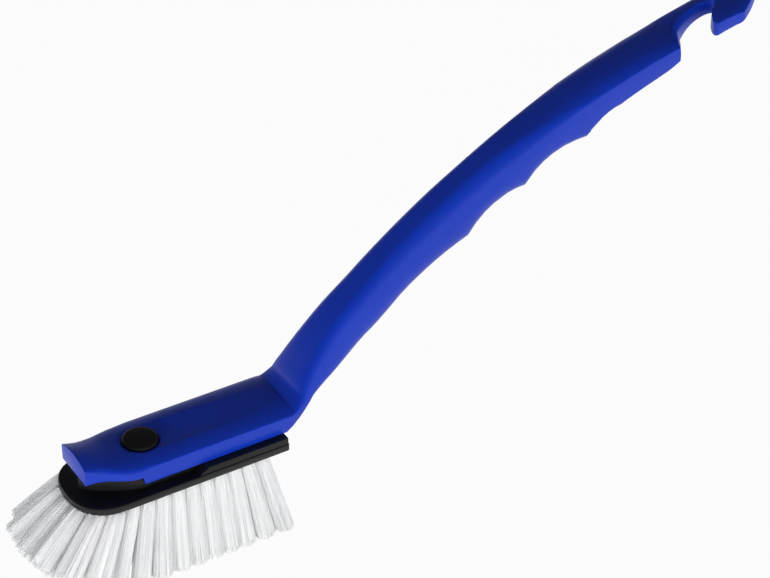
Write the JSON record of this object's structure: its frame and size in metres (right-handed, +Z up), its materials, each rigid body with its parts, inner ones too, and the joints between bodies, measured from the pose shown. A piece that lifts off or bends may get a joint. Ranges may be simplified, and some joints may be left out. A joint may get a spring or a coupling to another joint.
{
  "type": "dish brush",
  "caption": "Dish brush with a curved handle, finger scallops, a scraper nose, a hanging hook and a push-off bristle head with a sprung release button.",
  "frame": {"origin": "under the middle of the brush's bounding box, on the plane of the trimmed bristle tips", "axes": "+X from the head to the hanging hook, +Y to the side away from the hook's mouth, +Z up, against the bristles"},
  "size_m": [0.2676, 0.0432, 0.1304],
  "materials": {
    "blue_plastic": "semi-gloss",
    "black_plastic": "satin",
    "bristle": "satin"
  },
  "bodies": {
    "handle": {"handle": "blue_plastic"},
    "brush_head": {"brush_block": "black_plastic", "button_tongue": "black_plastic", "tuft_01": "bristle", "tuft_02": "bristle", "tuft_03": "bristle", "tuft_04": "bristle", "tuft_05": "bristle", "tuft_06": "bristle", "tuft_07": "bristle", "tuft_08": "bristle", "tuft_09": "bristle", "tuft_10": "bristle", "tuft_11": "bristle", "tuft_12": "bristle", "tuft_13": "bristle", "tuft_14": "bristle", "tuft_15": "bristle", "tuft_16": "bristle", "tuft_17": "bristle", "tuft_18": "bristle", "tuft_19": "bristle", "tuft_20": "bristle", "tuft_21": "bristle", "tuft_22": "bristle", "tuft_23": "bristle", "tuft_24": "bristle", "tuft_25": "bristle", "tuft_26": "bristle", "tuft_27": "bristle", "tuft_28": "bristle", "tuft_29": "bristle", "tuft_30": "bristle", "tuft_31": "bristle", "tuft_32": "bristle", "tuft_33": "bristle", "tuft_34": "bristle", "tuft_35": "bristle", "tuft_36": "bristle", "tuft_37": "bristle", "tuft_38": "bristle", "tuft_39": "bristle", "tuft_40": "bristle", "tuft_41": "bristle", "tuft_42": "bristle", "tuft_43": "bristle", "tuft_44": "bristle", "tuft_45": "bristle", "tuft_46": "bristle", "tuft_47": "bristle", "tuft_48": "bristle", "tuft_49": "bristle", "tuft_50": "bristle", "tuft_51": "bristle", "tuft_52": "bristle"},
    "release_button": {"release_button": "black_plastic"}
  },
  "joints": [
    {"name": "head_release", "type": "slide", "parent": "handle", "child": "brush_head", "axis": [0, 0, -1], "range_m": [0, 0.03]},
    {"name": "button_press", "type": "slide", "parent": "brush_head", "child": "release_button", "axis": [0, 0, -1], "range_m": [0, 0.002], "stiffness_N_per_m": 800, "deforming": ["button_tongue"]}
  ]
}
